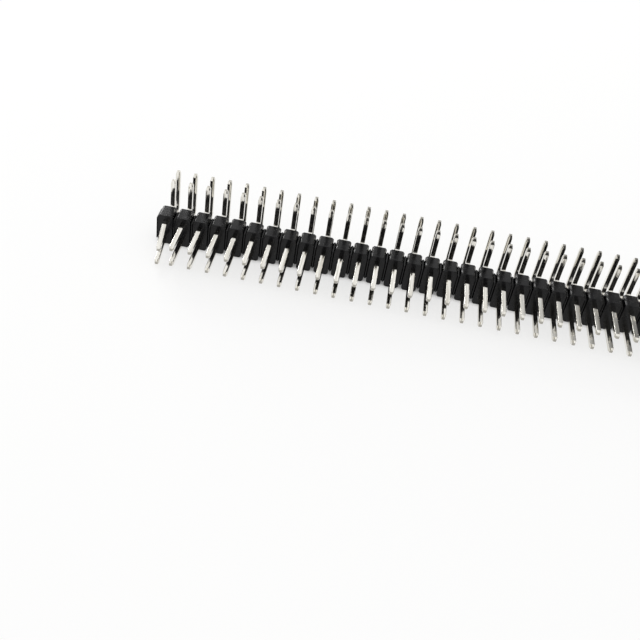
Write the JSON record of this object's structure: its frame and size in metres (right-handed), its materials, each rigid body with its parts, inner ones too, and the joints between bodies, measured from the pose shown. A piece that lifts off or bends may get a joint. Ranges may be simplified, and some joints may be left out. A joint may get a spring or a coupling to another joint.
{
  "type": "pin header strip",
  "caption": "Long notched plastic bar that snaps to length, carrying rows of square right-angle pins: straight posts take a socket and bent tails solder into a circuit board.",
  "frame": {"origin": "middle of the overall box along the strip and across it, on the plane that the housing stands on", "axes": "+X along the strip, -Y the way the mating posts point, +Z the way the soldering tails point"},
  "size_m": [0.1016, 0.0128, 0.0083],
  "materials": {
    "housing_plastic": "black glass-filled thermoplastic, satin as moulded",
    "plated_pins": "drawn square brass wire, bright tin plated"
  },
  "bodies": {
    "root": {"housing": "housing_plastic", "pin_pair_01": "plated_pins", "pin_pair_02": "plated_pins", "pin_pair_03": "plated_pins", "pin_pair_04": "plated_pins", "pin_pair_05": "plated_pins", "pin_pair_06": "plated_pins", "pin_pair_07": "plated_pins", "pin_pair_08": "plated_pins", "pin_pair_09": "plated_pins", "pin_pair_10": "plated_pins", "pin_pair_11": "plated_pins", "pin_pair_12": "plated_pins", "pin_pair_13": "plated_pins", "pin_pair_14": "plated_pins", "pin_pair_15": "plated_pins", "pin_pair_16": "plated_pins", "pin_pair_17": "plated_pins", "pin_pair_18": "plated_pins", "pin_pair_19": "plated_pins", "pin_pair_20": "plated_pins", "pin_pair_21": "plated_pins", "pin_pair_22": "plated_pins", "pin_pair_23": "plated_pins", "pin_pair_24": "plated_pins", "pin_pair_25": "plated_pins", "pin_pair_26": "plated_pins", "pin_pair_27": "plated_pins", "pin_pair_28": "plated_pins", "pin_pair_29": "plated_pins", "pin_pair_30": "plated_pins", "pin_pair_31": "plated_pins", "pin_pair_32": "plated_pins", "pin_pair_33": "plated_pins", "pin_pair_34": "plated_pins", "pin_pair_35": "plated_pins", "pin_pair_36": "plated_pins", "pin_pair_37": "plated_pins", "pin_pair_38": "plated_pins", "pin_pair_39": "plated_pins", "pin_pair_40": "plated_pins"}
  },
  "joints": []
}
